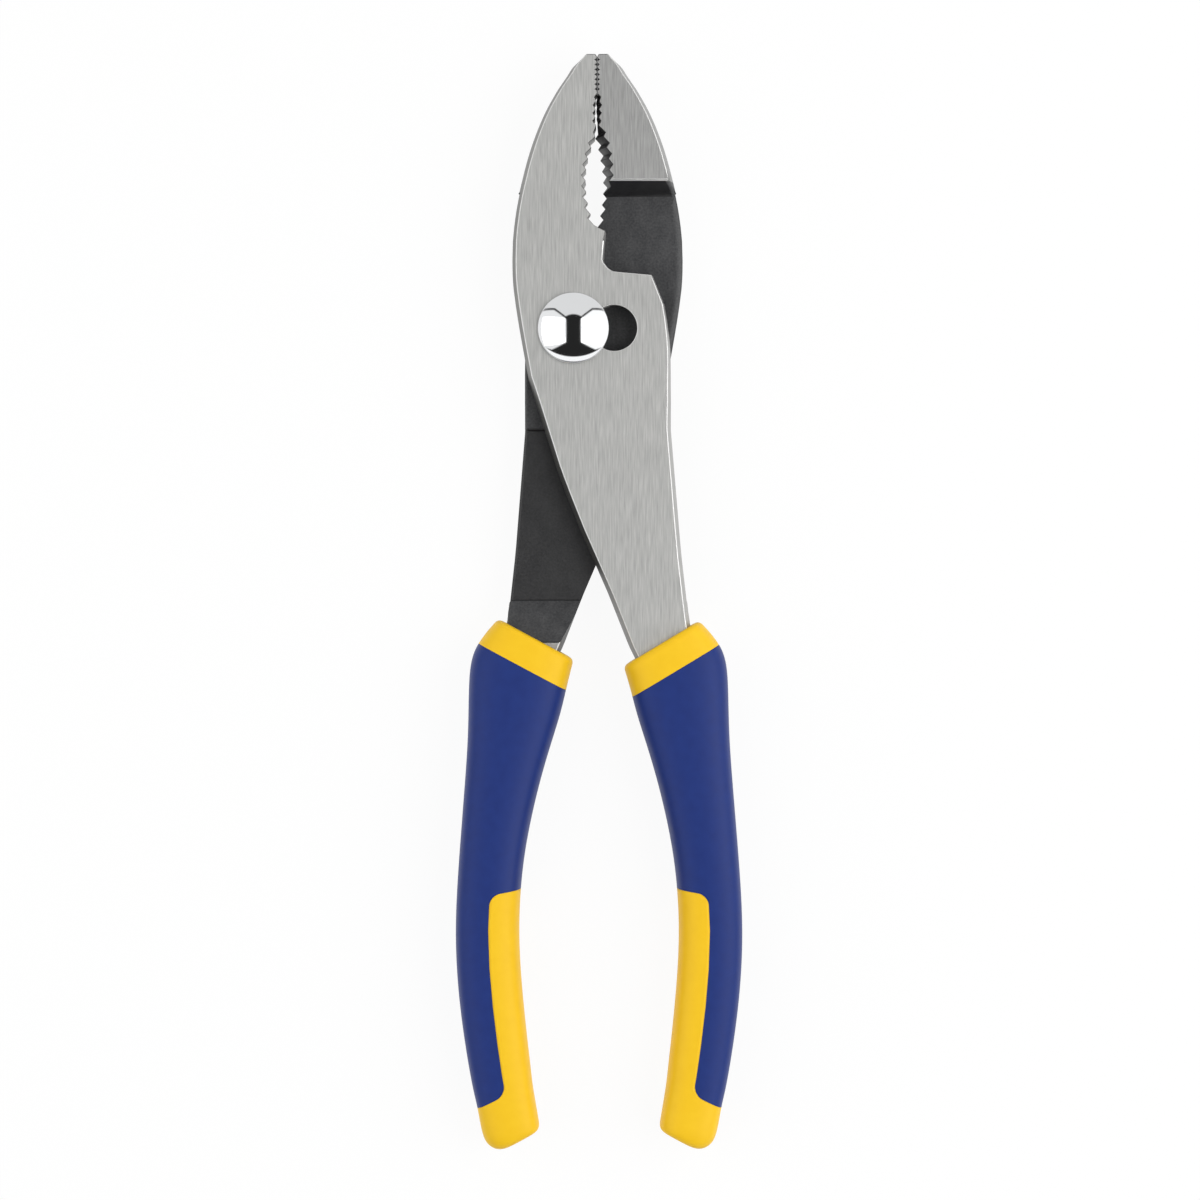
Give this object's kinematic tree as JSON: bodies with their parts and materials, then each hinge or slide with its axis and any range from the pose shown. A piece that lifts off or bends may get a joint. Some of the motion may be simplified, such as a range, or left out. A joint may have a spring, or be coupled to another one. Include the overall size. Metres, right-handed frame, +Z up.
{
  "type": "slip joint pliers",
  "caption": "Slip joint pliers lying closed, with a two-position slotted pivot, pipe grip, wire cutting lip and cushioned two-colour grips.",
  "frame": {"origin": "centre of the tool's outline, on the bench that it lies on", "axes": "+Y along the closing line towards the jaw tips, +Z up from the bench to the domed head of the pivot bolt, +X to the slotted half's handle"},
  "size_m": [0.0668, 0.254, 0.0185],
  "materials": {
    "polished_steel": "flat faces ground to a fine lengthwise grain",
    "black_steel": "black oxide, slightly grainy, with ground jaw and handle flats",
    "bolt_chrome": "bright polished dome",
    "nut_steel": "bright zinc",
    "yellow_grip": "satin soft moulding",
    "blue_grip": "satin soft moulding"
  },
  "bodies": {
    "slotted_side": {"slotted_half": "polished_steel", "right_grip_sleeve": "yellow_grip", "right_grip_cover": "blue_grip"},
    "pivot": {"pivot_bolt": "bolt_chrome", "pivot_nut": "nut_steel"},
    "pinned_side": {"pinned_half": "black_steel", "left_grip_sleeve": "yellow_grip", "left_grip_cover": "blue_grip"}
  },
  "joints": [
    {"name": "slip", "type": "slide", "parent": "slotted_side", "child": "pivot", "axis": [1, 0, 0], "range_m": [0, 0.00946]},
    {"name": "jaws", "type": "hinge", "parent": "pivot", "child": "pinned_side", "pos_m": [-0.00563, 0.0631, 0.009], "axis": [0, 0, -1], "range_deg": [0, 60]}
  ]
}
